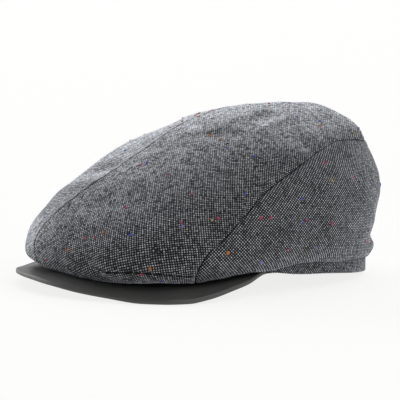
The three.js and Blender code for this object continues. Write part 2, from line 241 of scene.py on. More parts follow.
def crownSurface(angle, level):
    points = smoothCrown(angle, level)
    height = np.zeros(points.shape[:-1])
    deep = crown["foldDeep"]
    for middle, along, across, out, long, wide, rise in folds:
        d = points - middle
        height += rise * np.exp(-(d @ along / long)**2 - (d @ across / wide)**2 - (d @ out / deep)**2)
    height *= smoothStep(level / crown["foldFade"])
    return points + normalOf(smoothCrown, angle, level) * height[..., None]


def seamAt(angle):
    # Level of the seam at an angle; below the hem in front, where there is none.
    leftStart, rightStart = crown["leftSeam"][0][0], crown["rightSeam"][0][0]
    level = np.where(angle > 0, leftSeam(angle), rightSeam(-angle))
    return np.where((angle < leftStart) & (angle > -rightStart), -1.0, level)


def place(points):
    # Millimetres round the head opening to metres in the part's frame.
    return np.asarray(points) * mm + np.array([headX, headY, 0])


def pieceFrom(name, bm):
    mesh = bpy.data.meshes.new(name)
    bm.to_mesh(mesh)
    bm.free()
    piece = bpy.data.objects.new(name, mesh)
    bpy.context.scene.collection.objects.link(piece)
    return piece


def layFlat(bm, sheet):
    # Smooth faces, and a UV map with each vertex where it lies on the flat cloth.
    index = {v: k for k, v in enumerate(bm.verts)}
    uv = bm.loops.layers.uv.new("cloth")
    for face in bm.faces:
        face.smooth = True
        for loop in face.loops:
            loop[uv].uv = sheet[index[loop.vert]]


def evenSteps(values, lengths, count):
    # The same run of values, spaced by length instead.
    total = np.concatenate([[0], np.cumsum(lengths)])
    return np.interp(np.linspace(0, total[-1], count), total, values)


def crownGrid():
    # Angles and levels of a grid over the crown, with the points nearest a seam moved onto it.
    columns, rows = crown["columnsRound"], crown["rowsUp"]
    fine = np.linspace(-180, 180, 2881)
    ring = smoothCrown(fine, np.full(fine.shape, 3.0))
    angles = evenSteps(fine, np.linalg.norm(np.diff(ring, axis=0), axis=1), columns + 1)
    steps = np.linspace(0, topLevel, 801)
    climb = sum(np.linalg.norm(np.diff(smoothCrown(np.full(steps.shape, a), steps), axis=0), axis=1)
                for a in (0.0, 45.0, 90.0, 180.0, -90.0))
    levels = evenSteps(steps, climb, rows + 1)
    a, u = np.meshgrid(angles, levels, indexing="ij")
    inTop = u >= seamAt(a)
    newA, newU = a.copy(), u.copy()
    nearest = np.full(a.shape, 9.0)

    def offer(i, j, share, angle, level):
        if share < nearest[i, j]:
            nearest[i, j], newA[i, j], newU[i, j] = share, angle, level

    for i, j in np.argwhere(inTop[1:] != inTop[:-1]):
        low, high, startsIn = a[i, j], a[i + 1, j], inTop[i, j]
        for _ in range(30):
            half = (low + high) / 2
            if (u[i, j] >= seamAt(half)) == startsIn:
                low = half
            else:
                high = half
        share = (low - a[i, j]) / (a[i + 1, j] - a[i, j])
        if share < 0.5:
            offer(i, j, share, low, u[i, j])
        else:
            offer(i + 1, j, 1 - share, low, u[i, j])
    for i, j in np.argwhere(inTop[:, 1:] != inTop[:, :-1]):
        level = float(seamAt(a[i, j]))
        share = (level - u[i, j]) / (u[i, j + 1] - u[i, j])
        if share < 0.5:
            offer(i, j, share, a[i, j], level)
        else:
            offer(i, j + 1, 1 - share, a[i, j], level)
    onSeam = nearest < 9
    onSeam[-1] = onSeam[0] = onSeam[0] | onSeam[-1]
    newU[-1] = newU[0]
    newA[0], newA[-1] = -180, 180
    # ease the columns and rows beside a seam, so the cells there keep an even width
    fixed = onSeam.copy()
    fixed[[0, -1]] = True
    fixed[:, [0, -1]] = True
    near = np.zeros_like(fixed)
    for i, j in np.argwhere(onSeam):
        near[max(i - 3, 0):i + 4, max(j - 3, 0):j + 4] = True
    for _ in range(12):
        for values in (newA, newU):
            eased = values.copy()
            eased[1:-1, 1:-1] = (values[:-2, 1:-1] + values[2:, 1:-1]
                                 + values[1:-1, :-2] + values[1:-1, 2:]) / 4
            move = near & ~fixed
            values[move] = values[move] * 0.5 + eased[move] * 0.5
    return newA, newU, onSeam, inTop, angles, levels


def alongSeam(rows, side):
    steep = rows[0][0] + 6      # the seam climbs steeply over its first degrees
    fine = np.concatenate([np.linspace(rows[0][0], steep, 700), np.linspace(steep, 180, 1100)])
    level = leftSeam(fine) if side > 0 else rightSeam(fine)
    return crownSurface(fine * side, level)


def treeOf(points):
    tree = kdtree.KDTree(len(points))
    for i, p in enumerate(points):
        tree.insert(p, i)
    tree.balance()
    return tree


def distances(tree, points):
    return np.array([tree.find(p)[2] for p in points])


def clothHeight(points, toSeam, toLine, onLine):
    # Height of the cloth over the smooth crown: seam grooves with their ridges, and soft waves.
    look = seamLook
    swells, perMm = look["pucker"]
    pucker = swells * np.array([noise.noise(Vector(p) * perMm) for p in points])
    height = np.zeros(len(points))
    height -= look["grooveDeep"] * np.exp(-(toSeam / look["grooveWide"])**2)
    ridge = np.exp(-((toSeam - look["ridgeAway"]) / look["ridgeWide"])**2)
    height += look["ridgeRise"] * (1 + pucker) * ridge
    # the cloth stands a little proud over the line above the visor
    rise, width, reach = look["lineStep"]
    proud = smoothStep(toLine / width) * np.exp(-(toLine / reach)**2) * (toLine > 0)
    height += rise * onLine * proud
    wideHigh, widePerMm = look["wideWave"]
    fineHigh, finePerMm = look["fineWave"]
    wide = np.array([noise.noise(Vector((p[0], p[1], p[2] * 1.3)) * widePerMm) for p in points])
    fine = np.array([noise.noise(Vector(p) * finePerMm + Vector((7, 3, 1))) for p in points])
    return height + wideHigh * wide + fineHigh * fine


def seamDistance(a, u, points):
    # Distance from the nearest seam, with the middle seam at the back, and more where it is pressed.
    backTop = crown["leftSeam"][-1][1]
    seams = np.concatenate([alongSeam(crown["leftSeam"], 1), alongSeam(crown["rightSeam"], -1),
                            crownSurface(np.full(400, 180.0), np.linspace(0, backTop, 400))])
    high, highOver, highBy = seamLook["pressedHigh"]
    low, lowOver, lowBy = seamLook["pressedRight"]
    pressed = (highBy * smoothStep((u - high) / highOver)
               + lowBy * (a < 0) * smoothStep((low - u) / lowOver))
    return distances(treeOf(seams), points) + pressed.ravel()


def lineMarks(a, u):
    # Distance above the sewn line over the visor, and how far along that line a point is.
    lineLevel = curve(crown["frontLine"])(a)
    perLevel = np.linalg.norm(crownSurface(a, u + 0.05) - crownSurface(a, u - 0.05), axis=-1) / 0.1
    toLine = np.clip((u - lineLevel) * perLevel, -9, 9)
    start, end = crown["frontLine"][0][0], crown["frontLine"][-1][0]
    fadeIn, fadeOut = seamLook["lineFade"]
    onLine = smoothStep((a - start) / fadeIn) * smoothStep((end - a) / fadeOut)
    return toLine.ravel(), onLine.ravel()


def litAndWornCloth(a, u, normals):
    # Painted light: the cloth that faces the light is painted paler; the front corner is rubbed pale.
    facing = normals @ np.array(seamLook["paintedLightFrom"])
    paintedLight = smoothStep((facing - seamLook["paintedLightStart"]) / seamLook["paintedLightOver"])
    angle, across, level, up, share = seamLook["cornerPale"]
    rubbed = share * np.exp(-((a - angle) / across)**2 - ((u - level) / up)**2)
    return np.maximum(paintedLight, rubbed.ravel())


def clothOf(a, u):
    # Points of the smooth crown, where the cloth lies over them, and what its material reads there.
    points = crownSurface(a, u)
    points[:, -1] = points[:, -1].mean(axis=0)
    points[-1] = points[0]
    normals = normalOf(crownSurface, a, u)
    normals[-1] = normals[0]
    normals[:, -1] = (0, 0, 1)
    flat, normals = points.reshape(-1, 3), normals.reshape(-1, 3)
    toSeam = seamDistance(a, u, flat)
    toLine, onLine = lineMarks(a, u)
    lift = clothHeight(flat, toSeam, toLine, onLine)
    marks = {"toSeam": toSeam, "wornAndLit": litAndWornCloth(a, u, normals), "toLine": toLine, "onLine": onLine}
    return points, place(flat + normals * lift[:, None]), marks


def wholeCrown(a, u, onSeam, inTop, angles, levels, placed, marks):
    # One sheet over the crown, split along the seams, with each face marked with its panel.
    columns, rows = a.shape[0] - 1, a.shape[1] - 1
    whole = bmesh.new()
    bmesh.ops.create_grid(whole, x_segments=columns, y_segments=rows, size=1)
    markLayers = {name: whole.verts.layers.float.new(name) for name in marks}
    sortLayer = whole.verts.layers.int.new("panel")
    acrossLayer = whole.verts.layers.float.new("across")
    upLayer = whole.verts.layers.float.new("up")
    acrossAt = np.interp(a, angles, np.arange(columns + 1))
    upAt = np.interp(u, levels, np.arange(rows + 1))
    spot = {}
    for v in whole.verts:
        i = round((v.co.x + 1) / 2 * columns)
        j = round((v.co.y + 1) / 2 * rows)
        k = i * (rows + 1) + j
        spot[v] = (i, j)
        for name, layer in markLayers.items():
            v[layer] = marks[name][k]
        v[acrossLayer], v[upLayer] = acrossAt[i, j], upAt[i, j]
        v[sortLayer] = 0 if onSeam[i, j] else (1 if inTop[i, j] else 2)
        v.co = placed[k]
    for face in list(whole.faces):
        sorts = [v[sortLayer] for v in face.verts]
        if 1 in sorts and 2 in sorts:
            ends = [v for v in face.verts if v[sortLayer] == 0]
            if len(ends) == 2:
                bmesh.utils.face_split(face, ends[0], ends[1])
    panelLayer = whole.faces.layers.int.new("panel")
    columnLayer = whole.faces.layers.float.new("column")
    rowLayer = whole.faces.layers.float.new("row")
    for face in whole.faces:
        count = len(face.verts)
        column = sum(spot[v][0] for v in face.verts) / count
        face[columnLayer] = column
        face[rowLayer] = sum(spot[v][1] for v in face.verts) / count
        sorts = [v[sortLayer] for v in face.verts if v[sortLayer]]
        if sorts:
            isTop = max(set(sorts), key=sorts.count) == 1
        else:
            angle = sum(a[spot[v]] for v in face.verts) / count
            level = sum(u[spot[v]] for v in face.verts) / count
            isTop = level >= seamAt(np.array(angle))
        side = 2 if column > columns / 2 else 3
        face[panelLayer] = 1 if isTop else side
    bmesh.ops.remove_doubles(whole, verts=whole.verts, dist=1e-6)
    return whole


def widened(used):
    # The same cells, and two more all round.
    keep = used.copy()
    for di in range(-2, 3):
        for dj in range(-2, 3):
            rolled = np.roll(used, di, axis=0)
            moved = np.zeros_like(used)
            low, high = max(dj, 0), used.shape[1] + min(dj, 0)
            moved[:, low:high] = rolled[:, low - dj:high - dj]
            keep |= moved
    return keep


def cutPanel(whole, points, name, mark, towards, turn):
    # One panel out of the whole crown, with its flat cutting pattern as its UV map.
    stepAcross, stepUp = crown["patternStep"]
    one = whole.copy()
    panelLayer = one.faces.layers.int["panel"]
    bmesh.ops.delete(one, geom=[f for f in one.faces if f[panelLayer] != mark], context="FACES")
    columnLayer, rowLayer = one.faces.layers.float["column"], one.faces.layers.float["row"]
    used = np.zeros((crown["columnsRound"] // stepAcross, crown["rowsUp"] // stepUp), bool)
    for face in one.faces:
        used[min(int(face[columnLayer] // stepAcross), used.shape[0] - 1),
             min(int(face[rowLayer] // stepUp), used.shape[1] - 1)] = True
    pattern = cuttingPattern(name, points[::stepAcross, ::stepUp], widened(used), towards, turn)
    wrapped = np.concatenate([pattern[-3:-1], pattern, pattern[1:3]])
    across, up = one.verts.layers.float["across"], one.verts.layers.float["up"]
    i = np.array([v[across] for v in one.verts]) / stepAcross + 2
    j = np.array([v[up] for v in one.verts]) / stepUp
    layFlat(one, cubicAt(wrapped, i, j))
    return pieceFrom(name, one)


def makePanels():
    a, u, onSeam, inTop, angles, levels = crownGrid()
    points, placed, marks = clothOf(a, u)
    whole = wholeCrown(a, u, onSeam, inTop, angles, levels, placed, marks)
    made = {row[0]: cutPanel(whole, points, *row) for row in crown["panels"]}
    whole.free()
    return made


def cubicAt(values, i, j):
    # Smooth reading of a coarse grid of flat positions at fractional columns and rows.
    def weights(t):
        return (0.5 * (-t + 2 * t**2 - t**3), 0.5 * (2 - 5 * t**2 + 3 * t**3),
                0.5 * (t + 4 * t**2 - 3 * t**3), 0.5 * (t**3 - t**2))
    i0 = np.clip(np.floor(i).astype(int), 1, values.shape[0] - 3)
    j0 = np.clip(np.floor(j).astype(int), 1, values.shape[1] - 3)
    total = 0
    for m, wi in enumerate(weights(i - i0)):
        for n, wj in enumerate(weights(j - j0)):
            total = total + (wi * wj)[:, None] * values[i0 + m - 1, j0 + n - 1]
    return total


def cuttingPattern(name, points, keep, towards, turn):
    # Flattens one panel as its cutting pattern, in millimetres, on a coarse copy of the crown
    # grid: V runs in the direction given in space, turned by some degrees for bias-cut cloth.
    columns, rows = keep.shape
    bm = bmesh.new()
    bmesh.ops.create_grid(bm, x_segments=columns, y_segments=rows, size=1)
    spot = {}
    for v in bm.verts:
        i, j = round((v.co.x + 1) / 2 * columns), round((v.co.y + 1) / 2 * rows)
        spot[v] = (i, j)
        v.co = points[i, j]
    unwanted = [f for f in bm.faces
                if not keep[min(spot[v][0] for v in f.verts), min(spot[v][1] for v in f.verts)]]
    bmesh.ops.delete(bm, geom=unwanted, context="FACES")
    bmesh.ops.remove_doubles(bm, verts=bm.verts, dist=1e-3)
    piece = pieceFrom(name, bm)
    mesh = piece.data
    for other in bpy.context.selected_objects:
        other.select_set(False)
    piece.select_set(True)
    bpy.context.view_layer.objects.active = piece
    bpy.ops.object.mode_set(mode="EDIT")
    bpy.ops.mesh.select_all(action="SELECT")
    bpy.ops.uv.unwrap(method="MINIMUM_STRETCH", iterations=40, margin=0.0)
    bpy.ops.object.mode_set(mode="OBJECT")
    flat = np.zeros((len(mesh.vertices), 2))
    for loop, uv in zip(mesh.loops, mesh.uv_layers.active.data):
        flat[loop.vertex_index] = uv.uv
    corners = np.array([v.co for v in mesh.vertices])
    edges = np.array([e.vertices for e in mesh.edges])
    inSpace = np.linalg.norm(corners[edges[:, 0]] - corners[edges[:, 1]], axis=1)
    onSheet = np.linalg.norm(flat[edges[:, 0]] - flat[edges[:, 1]], axis=1)
    scale = np.sum(inSpace) / np.sum(onSheet)
    step = flat[edges[:, 1]] - flat[edges[:, 0]]
    rise = (corners[edges[:, 1]] - corners[edges[:, 0]]) @ np.array(towards, float)
    heading = np.array([np.sum(step[:, 0] * rise), np.sum(step[:, 1] * rise)])
    angle = math.pi / 2 - math.atan2(heading[1], heading[0]) + math.radians(turn)
    c, s = math.cos(angle), math.sin(angle)
    flat = flat @ np.array([[c, s], [-s, c]]) * scale
    tree = treeOf(corners)
    pattern = np.full((columns + 1, rows + 2, 2), np.nan)
    for i in range(columns + 1):
        for j in range(rows + 1):
            _, index, away = tree.find(points[i, j])
            if away < 0.01:
                pattern[i, j] = flat[index]
    pattern[:, -1] = 2 * pattern[:, -2] - pattern[:, -3]
    print(" ", name, "flattened, stretch", [round(float(v), 2) for v in
                                            np.percentile(onSheet * scale / inSpace, [5, 50, 95])])
    bpy.data.objects.remove(piece)
    return pattern


panels = makePanels()
print("panels cut:", {name: len(p.data.polygons) for name, p in panels.items()})


def solidify(piece, thickness, offset=-1):
    wall = piece.modifiers.new("wall", "SOLIDIFY")
    wall.thickness = thickness * mm
    wall.offset = offset
    wall.use_quality_normals = True


def bevelEdges(piece, name, width):
    bevel = piece.modifiers.new(name, "BEVEL")
    bevel.width = width * mm
    bevel.segments = 3
    bevel.limit_method = "ANGLE"
    bevel.angle_limit = math.radians(50)


for piece in panels.values():
    solidify(piece, crown["wall"])

# The band round the head opening, in millimetres
band = {
    "halfWidth": 83,
    "halfLength": 101,
    "square": 2.1,
    "height": 16,
    "wall": 1.8,
    "fold": 0.55,               # width of the rounding at its edges
    "wave": 0.1,
    "backSwell": (150, 22, 1.4),    # fuller at the back on the left: angle, spread, rise
    "length": 580,
    # lower edge: angle from the front, height
    "rim": [(0, 8), (20, 7.6), (40, 7.4), (55, 9.6), (68, 12.6), (74, 12.6), (79, 11.7), (84, 10.7),
            (92, 9.7), (100, 9), (110, 7.7), (130, 4.6), (150, 2), (164, 0), (180, 0)],
}
rimLine = curve(band["rim"], 1, "start end")


def opening(angle, inset=0.0):
    c, s = np.abs(np.cos(np.radians(angle))), np.abs(np.sin(np.radians(angle)))
    n = band["square"]
    return ((c / (band["halfLength"] - inset))**n + (s / (band["halfWidth"] - inset))**n)**(-1 / n)


def around(angle, reach, z):
    angle = np.radians(angle)
    return np.stack([reach * np.sin(angle), -reach * np.cos(angle), z + 0 * angle], -1)


def gridPiece(name, columns, rows, shape, closed=False):
    # A sheet from a grid: shape turns shares across and up into points, in millimetres.
    bm = bmesh.new()
    bmesh.ops.create_grid(bm, x_segments=columns, y_segments=rows, size=1)
    verts = list(bm.verts)
    across = np.array([(v.co.x + 1) / 2 for v in verts])
    up = np.array([(v.co.y + 1) / 2 for v in verts])
    points, sheet = shape(across, up)
    layFlat(bm, sheet)
    for v, p in zip(verts, place(points)):
        v.co = p
    if closed:
        bmesh.ops.remove_doubles(bm, verts=bm.verts, dist=1e-6)
    return pieceFrom(name, bm)


def bandShape(across, up):
    angle = across * 360 - 180
    low = rimLine(np.abs(angle))
    wave = band["wave"] * np.sin(np.radians(angle * 9 + 40)) * (1 - up)
    middle, spread, rise = band["backSwell"]
    swell = rise * np.exp(-((angle - middle) / spread)**2)
    points = around(angle, opening(angle) + wave + swell, low + up * band["height"])
    # the strip is cut on the bias, so its threads run at 45 degrees
    along, upStrip = across * band["length"], up * band["height"]
    sheet = np.stack([along - upStrip, along + upStrip], -1) * math.sqrt(0.5)
    return points, sheet


bandPiece = gridPiece("bandCloth", 300, 10, bandShape, True)
solidify(bandPiece, band["wall"])
bevelEdges(bandPiece, "foldedEdge", band["fold"])
print("band made")

# The visor, two layers of leather with the upper one turned round the edge, in millimetres
visor = {
    "ends": 70,                 # degrees from the front to either end
    "rootGap": 0.3,             # between the visor and the band
    "arch": 1.9,
    "archShape": 1.4,
    "archFull": 42,             # reach from which the arch is full
    "columns": 150,
    "rows": 32,
    "rowsBelow": 16,
    "flatShare": 0.68,          # share of the rows before the turned edge
    "turnShape": 0.55,          # below one, the turned edge is squarer than round
    "overlap": 0.4,
    "upperLeather": 0.8,
    "lowerLeather": 1.3,
    "bevel": 0.2,
    "sheet": (120, 44),         # size of the leather's flat map, to a radian and from root to edge
    # angle, height of the top at the band, reach, height of the lower edge, thickness
    "line": [(-70, 14, 87.4, 12, 2.3), (-65, 13.8, 93, 11.4, 2.7), (-60, 13.2, 101.5, 10, 3),
             (-54, 12.2, 112, 8.2, 3.2), (-46, 10.8, 124, 5.6, 3.3), (-38, 10, 132.8, 4.2, 3.3),
             (-30, 9.8, 138, 5.3, 3.3), (-20, 10.2, 140.5, 6.9, 3.3), (-10, 10.6, 142.5, 7.4, 3.3),
             (0, 10.8, 144, 6.5, 3.3), (10, 10.6, 142.5, 3.9, 3.3), (20, 10.2, 140.5, 1.6, 3.3),
             (29, 9.8, 141, 0, 3.3), (35, 9.8, 140, 0, 3.3), (41, 10, 134.5, 0, 3.3),
             (46, 10.8, 126.5, 1.5, 3.3), (54, 12.2, 112.4, 5.6, 3.2), (60, 13.2, 101.5, 8.2, 3),
             (65, 13.8, 93, 11.6, 2.7), (70, 15.2, 86.6, 14.6, 2.3)],
}
rootHeight, visorReach, lowEdge, visorThick = [curve(visor["line"], k) for k in (1, 2, 3, 4)]


def visorShape(layer):
    # The upper leather is turned round the edge; the lower one ends inside the turn.
    def shape(across, up):
        angle = (across * 2 - 1) * visor["ends"]
        start = opening(angle, -visor["rootGap"])
        thick = visorThick(angle)
        turn = thick / 2 if layer else 0 * thick
        reach = visorReach(angle) - (turn if layer else thick / 2 + visor["overlap"])
        flat = np.clip(up / visor["flatShare"], 0, 1) if layer else up
        share = flat * (reach - start) / (visorReach(angle) - start)
        bow = np.sin(math.pi * share**visor["archShape"])
        arch = visor["arch"] * bow * np.clip((reach - start) / visor["archFull"], 0, 1)
        low = rootHeight(angle) - thick + (lowEdge(angle) - rootHeight(angle) + thick) * share
        bend = np.clip((up - visor["flatShare"]) / (1 - visor["flatShare"]), 0, 1) * math.pi * layer
        rise = np.sign(np.cos(bend)) * np.abs(np.cos(bend))**visor["turnShape"]
        radius = start + (reach - start) * flat + turn * np.abs(np.sin(bend))**visor["turnShape"]
        points = around(angle, radius, low + arch + thick * layer - turn * (1 - rise))
        wide, deep = visor["sheet"]
        return points, np.stack([np.radians(angle) * wide, up * deep], -1)
    return shape


def leatherLayer(name, layer, rows, thickness, offset):
    piece = gridPiece(name, visor["columns"], rows, visorShape(layer))
    bm = bmesh.new()
    bm.from_mesh(piece.data)
    bmesh.ops.recalc_face_normals(bm, faces=bm.faces)
    top = max(bm.faces, key=lambda f: f.calc_center_median().z)
    if top.normal.z < 0:
        bmesh.ops.reverse_faces(bm, faces=bm.faces)
    bm.to_mesh(piece.data)
    bm.free()
    solidify(piece, thickness, offset)
    bevelEdges(piece, "rolledEdge", visor["bevel"])
    return piece


visorTop = leatherLayer("visorUpperLeather", 1, visor["rows"], visor["upperLeather"], -1)
visorUnder = leatherLayer("visorLowerLeather", 0, visor["rowsBelow"], visor["lowerLeather"], 1)
print("visor made")

# Coloured knots of fibre in the yarn, in millimetres
flecks = {
    "seed": 4,
    "hidden": 74,               # how many more on the sides that the picture hides
    "shown": (-35, 140),        # angles that it shows
    "swell": 1.45,              # grains to the sizes below
    "flat": 0.8,
    "ragged": 0.7,
    "lift": 0.02,
    "strands": 1800,            # strands of fibre to a metre
    "colours": {"Red": (0.4, 0.075, 0.12), "Pink": (0.5, 0.15, 0.22), "Orange": (0.46, 0.17, 0.05),
                "Blue": (0.11, 0.13, 0.48), "Purple": (0.24, 0.17, 0.42), "Ochre": (0.36, 0.27, 0.1)},
    # colour, angle, level, length, width, turn
    "seen": [("Orange", 2, 3.79, 1.7, 1.2, 20), ("Orange", 30, 3.02, 1.7, 1.4, 80),
             ("Orange", 52, 3.57, 1.9, 1.5, 30), ("Red", -8, 2.9, 1.5, 1.1, 60),
             ("Red", 27.5, 2.6, 1.7, 1.1, 15), ("Blue", 32, 1.8, 1.4, 1.1, 0),
             ("Purple", 64, 2.55, 1.8, 1.4, 100), ("Red", 6, 4.55, 1.4, 1.1, 50),
             ("Red", 10, 4.64, 1.2, 0.9, 120), ("Orange", 12, 4.9, 1.3, 1.0, 30),
             ("Blue", 22, 4.88, 1.9, 1.5, 10), ("Purple", 37, 5.19, 1.7, 1.4, 40),
             ("Red", 36, 5.4, 1.4, 1.2, 90), ("Red", 48, 5.43, 1.8, 1.3, 150),
             ("Ochre", 46, 5.36, 1.3, 1.0, 20), ("Red", 64, 5.12, 1.7, 1.3, 60),
             ("Red", 68, 5.05, 1.6, 1.3, 10), ("Red", 85, 4.62, 1.5, 1.1, 80),
             ("Blue", 83, 4.57, 1.4, 1.1, 35), ("Red", 98, 4.26, 2.4, 1.3, 92),
             ("Red", 106, 6.98, 1.8, 1.3, 30), ("Pink", 118, 6.1, 1.4, 1.1, 0),
             ("Ochre", 104, 6.21, 1.7, 1.3, 45), ("Blue", 84, 5.71, 1.4, 1.1, 70),
             ("Orange", 134, 8.26, 1.9, 1.4, 15), ("Orange", 24, 8.88, 1.8, 1.2, 130),
             ("Orange", 40, 8.74, 1.5, 1.1, 20), ("Blue", 49, 8.33, 1.3, 1.0, 55),
             ("Blue", 66, 7.95, 1.5, 1.1, 5), ("Red", -5, 7.5, 1.7, 1.2, 40),
             ("Blue", -2, 7.6, 1.6, 1.2, 95), ("Pink", 128, 2.74, 2.1, 1.4, 70),
             ("Red", 13, 6.0, 1.5, 1.1, 25), ("Red", 36, 6.6, 1.4, 1.0, 65),
             ("Pink", 20, 7.3, 1.3, 1.0, 15), ("Purple", 90, 3.0, 1.3, 1.1, 0),
             ("Red", 75, 3.2, 1.3, 1.0, 30), ("Blue", 58, 6.4, 1.2, 1.0, 10)],
}


def makeFlecks():
    # One joined mesh of low ragged grains for each colour, lying on the cloth.
    chance = random.Random(flecks["seed"])
    rows = list(flecks["seen"])
    names = list(flecks["colours"])
    while len(rows) < len(flecks["seen"]) + flecks["hidden"]:
        angle, level = chance.uniform(-180, 180), chance.uniform(0.8, 10.4) ** 0.8 * 1.55
        if flecks["shown"][0] < angle < flecks["shown"][1] or level > topLevel - 0.6:
            continue
        rows.append((chance.choice(names), angle, level, chance.uniform(1.1, 1.9),
                     chance.uniform(0.9, 1.4), chance.uniform(0, 180)))
    ground = bmesh.new()
    for panel in panels.values():
        ground.from_mesh(panel.data)
    tree = bvhtree.BVHTree.FromBMesh(ground)
    ground.free()
    made = []
    for name in names:
        bm = bmesh.new()
        for colour, angle, level, long, wide, heading in rows:
            if colour != name:
                continue
            aim = place(crownSurface(np.array([float(angle)]), np.array([float(level)])))[0]
            spot, out, _, _ = tree.find_nearest(Vector(aim))
            across = out.cross(Vector((0, 0, 1))).normalized()
            axes = Matrix((across, out.cross(across), out)).transposed()
            turn = Matrix.Rotation(math.radians(heading), 3, "Z")
            size = Matrix.Diagonal((long, wide, flecks["flat"])) * (flecks["swell"] * mm / 2)
            knot = bmesh.ops.create_icosphere(bm, subdivisions=2, radius=1)["verts"]
            shift = Vector((angle, level, 3))
            for v in knot:
                ragged = 1 + flecks["ragged"] * noise.noise(v.co * 2.1 + shift)
                v.co = spot + out * flecks["lift"] * mm + axes @ turn @ size @ (v.co * ragged)
        for face in bm.faces:
            face.smooth = True
        made.append((pieceFrom("flecks" + name, bm), flecks["colours"][name]))
    return made


fleckPieces = makeFlecks()
print("flecks made")


def newMaterial(name):
    material = bpy.data.materials.new(name)
    material.use_nodes = True
    nodes, links = material.node_tree.nodes, material.node_tree.links
    return material, nodes, links, nodes["Principled BSDF"]


def setInputs(node, values):
    for name, value in values.items():
        node.inputs[name].default_value = value


def feed(links, socket, value):
    # A number or a colour is set on the socket, and anything else is linked to it.
    if isinstance(value, (int, float, tuple)):
        socket.default_value = value
    else:
        links.new(value, socket)


def mathNode(nodes, links, operation, *values, clamp=False):
    node = nodes.new("ShaderNodeMath")
    node.operation = operation
    node.use_clamp = clamp
    for socket, value in zip(node.inputs, values):
        feed(links, socket, value)
    return node.outputs[0]


def rangeNode(nodes, links, value, low, high, toLow=0.0, toHigh=1.0, smooth=False):
    node = nodes.new("ShaderNodeMapRange")
    node.interpolation_type = "SMOOTHSTEP" if smooth else "LINEAR"
    links.new(value, node.inputs["Value"])
    setInputs(node, {"From Min": low, "From Max": high, "To Min": toLow, "To Max": toHigh})
    return node.outputs["Result"]


def mixNode(nodes, links, factor, first, second, blend="MIX"):
    node = nodes.new("ShaderNodeMix")
    node.data_type = "RGBA"
    node.blend_type = blend
    for socket, value in (("Factor", factor), ("A", first), ("B", second)):
        feed(links, node.inputs[socket], value)
    return node.outputs["Result"]


def bumpNode(nodes, links, height, strength, distance, normal=None):
    node = nodes.new("ShaderNodeBump")
    setInputs(node, {"Strength": strength, "Distance": distance * mm})
    links.new(height, node.inputs["Height"])
    if normal:
        links.new(normal, node.inputs["Normal"])
    return node.outputs["Normal"]


def noiseNode(nodes, links, where, space, scale, detail, roughness=0.5, distortion=0.0):
    node = nodes.new("ShaderNodeTexNoise")
    node.noise_dimensions = space
    setInputs(node, {"Scale": scale, "Detail": detail, "Roughness": roughness, "Distortion": distortion})
    links.new(where, node.inputs["Vector"])
    return node


def mappingNode(nodes, links, where, scale, shift):
    node = nodes.new("ShaderNodeMapping")
    setInputs(node, {"Scale": (*scale, 1), "Location": (*shift, 0)})
    links.new(where, node.inputs["Vector"])
    return node.outputs[0]


# The tweed: colours of its pale and dark yarn and of the fuzz on them, and how much paler it is painted
# where it is rubbed and where painted light falls on it
tweedLook = {
    "lightWarm": (0.6, 0.57, 0.575, 1),
    "lightCool": (0.55, 0.605, 0.64, 1),
    "dark": (0.003, 0.0035, 0.004, 1),
    "fuzzLight": (3.3, 3.4, 3.65, 1),
    "fuzzDark": (0.05, 0.05, 0.06, 1),
    "wobble": (0.9, 0.16),      # how far the threads wander in millimetres, and bends to a millimetre
    # unevenness: cells to a millimetre across and up, detail, roughness, share in the tone
    "warp": (0.62, 0.13, 2, 0.5, 0.55),
    "weft": (0.13, 0.62, 2, 0.5, 0.55),
    "fibre": (0.9, 0.9, 3, 0.65, 1.1),
    "cloud": (0.07, 0.07, 3, 0.6, 0.4),
    "lean": (0.4, 0.4, 2),
    # share of paling from rubbing and from painted light
    "wearAndLight": 0.4,
    "paintedGrooveShade": 0.12,         # what is left of the colour under the painted shade in a seam
    # how much of the colour the painted shade in the sewn line takes away
    "paintedLineShade": 0.97,
    "stripPale": 0.35,
    "roughness": 0.9,
    "shine": 0.15,
    "fuzzRoughness": 0.55,
    "bump": 0.6,
}


